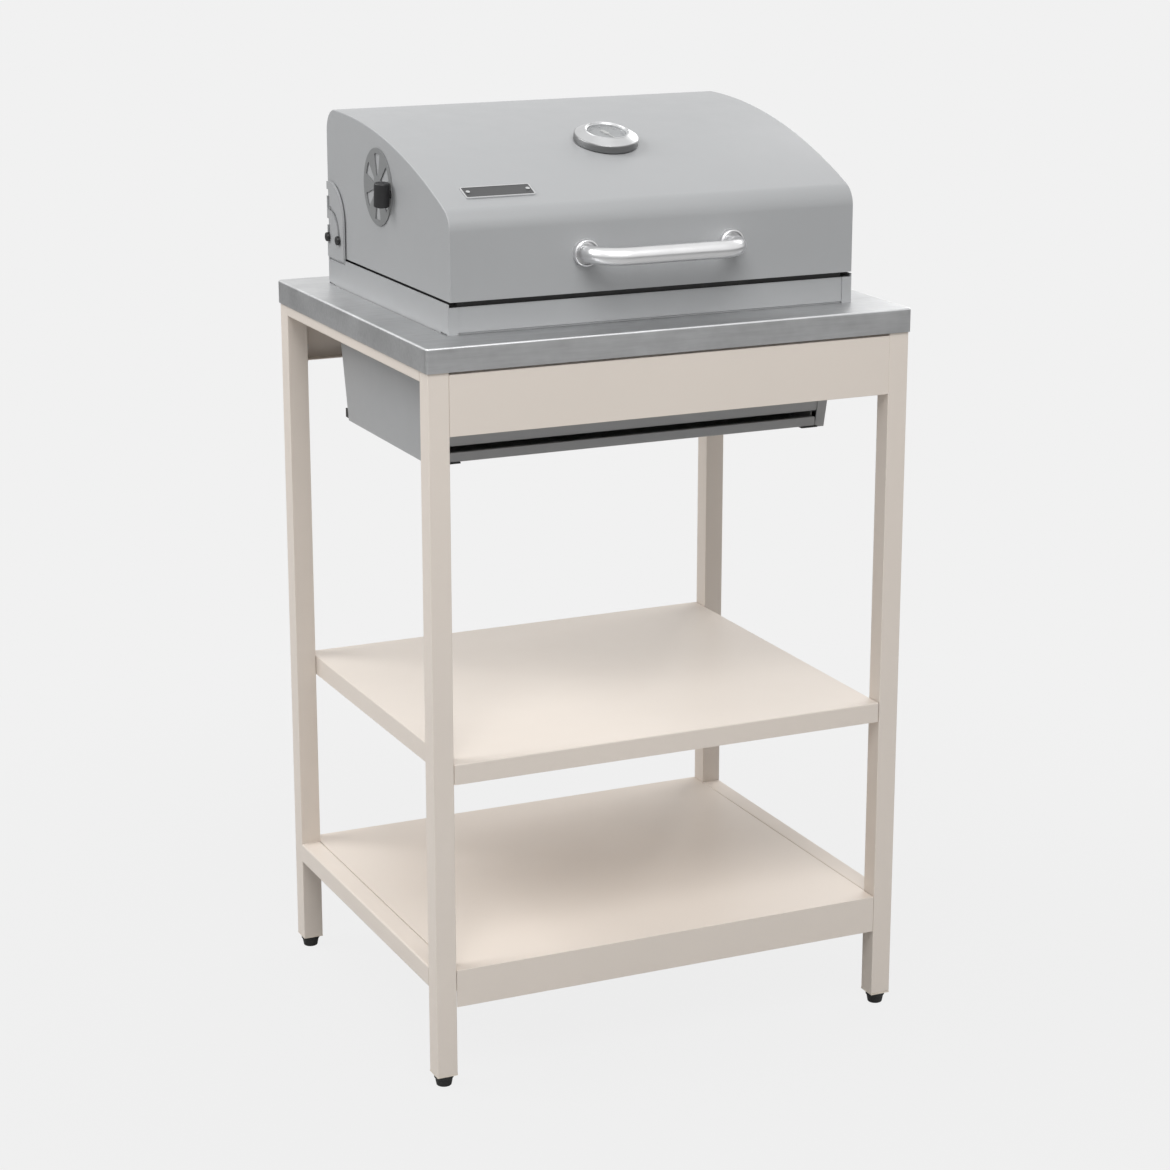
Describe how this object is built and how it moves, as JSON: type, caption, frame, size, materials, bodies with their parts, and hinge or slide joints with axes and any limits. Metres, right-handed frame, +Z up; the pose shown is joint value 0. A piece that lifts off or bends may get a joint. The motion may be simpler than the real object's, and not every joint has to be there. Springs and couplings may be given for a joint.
{
  "type": "charcoal grill on a stand",
  "caption": "Charcoal grill with a hinged box hood, handle, thermometer, vent damper and ash drawer, set in the steel worktop of a painted stand with shelves.",
  "frame": {"origin": "on the floor under the middle of the worktop", "axes": "+Z up, -Y towards the user, where the handle and the ash drawer are, +X to the user's right"},
  "size_m": [0.604, 0.492, 1.081],
  "materials": {
    "stand_paint": "satin powder coat, warm beige",
    "plug_plastic": "moulded, beige",
    "foot_rubber": "moulded, black",
    "worktop_steel": "brushed along its length",
    "grill_paint": "satin powder coat, light grey",
    "damper_paint": "satin, mid grey",
    "black_enamel": "matt heat-proof black",
    "grate_steel": "stainless bar",
    "handle_steel": "polished stainless",
    "bezel_steel": "turned and polished",
    "dial_paint": "matt grey",
    "needle_paint": "white",
    "dial_glass": "clear",
    "badge_metal": "satin, blank",
    "black_bolts": "blackened",
    "grip_plastic": "moulded, black",
    "screw_steel": "zinc plated"
  },
  "bodies": {
    "stand": {"leg_front_left": "stand_paint", "leg_front_right": "stand_paint", "leg_rear_left": "stand_paint", "leg_rear_right": "stand_paint", "leg_plugs": "plug_plastic", "feet": "foot_rubber", "top_rail_left": "stand_paint", "top_rail_right": "stand_paint", "lower_rail_left": "stand_paint", "lower_rail_right": "stand_paint", "apron_front": "stand_paint", "apron_rear": "stand_paint", "apron_screws": "screw_steel", "middle_shelf": "stand_paint", "lower_shelf": "stand_paint", "shelf_screws": "screw_steel", "worktop": "worktop_steel", "firebox_side_left": "grill_paint", "firebox_side_right": "grill_paint", "firebox_front": "grill_paint", "firebox_rear": "grill_paint", "collar_front": "grill_paint", "collar_rear": "grill_paint", "inner_rim": "black_enamel", "cooking_grate": "grate_steel", "charcoal_grate": "black_enamel", "charcoal_ledges": "black_enamel", "drawer_runner_left": "black_enamel", "drawer_runner_right": "black_enamel", "hinge_plate_left": "grill_paint", "hinge_plate_right": "grill_paint", "hinge_plate_nuts": "screw_steel"},
    "hood": {"hood_shell": "grill_paint", "hood_side_left": "grill_paint", "hood_side_right": "grill_paint", "pivot_bolts": "black_bolts", "guide_bolts": "black_bolts", "hinge_nuts": "screw_steel", "handle_bar": "handle_steel", "handle_rosettes": "handle_steel", "handle_screws": "screw_steel", "thermometer_bezel": "bezel_steel", "thermometer_dial": "dial_paint", "thermometer_glass": "dial_glass", "thermometer_probe": "screw_steel", "thermometer_nut": "screw_steel", "badge_plate": "badge_metal", "badge_rivets": "badge_metal", "vent_rivet": "screw_steel"},
    "damper": {"vent_disc": "damper_paint", "vent_grip": "grip_plastic", "vent_grip_pin": "screw_steel"},
    "needle": {"thermometer_pointer": "needle_paint"},
    "drawer": {"ash_drawer": "grill_paint"}
  },
  "joints": [
    {"name": "hood_hinge", "type": "hinge", "parent": "stand", "child": "hood", "pos_m": [0.002, 0.19, 0.9275], "axis": [-1, 0, 0], "range_deg": [0, 90]},
    {"name": "damper_turn", "type": "hinge", "parent": "hood", "child": "damper", "pos_m": [-0.2511, 0.028, 1.0075], "axis": [-1, 0, 0], "range_deg": [0, 30]},
    {"name": "needle_turn", "type": "hinge", "parent": "hood", "child": "needle", "pos_m": [0.005, -0.04586, 1.06442], "axis": [0, 0.253, -0.9675], "range_deg": [0, 300], "stiffness_Nm_per_rad": 0.002},
    {"name": "drawer_slide", "type": "slide", "parent": "stand", "child": "drawer", "axis": [0, -1, 0], "range_m": [0, 0.22]}
  ]
}
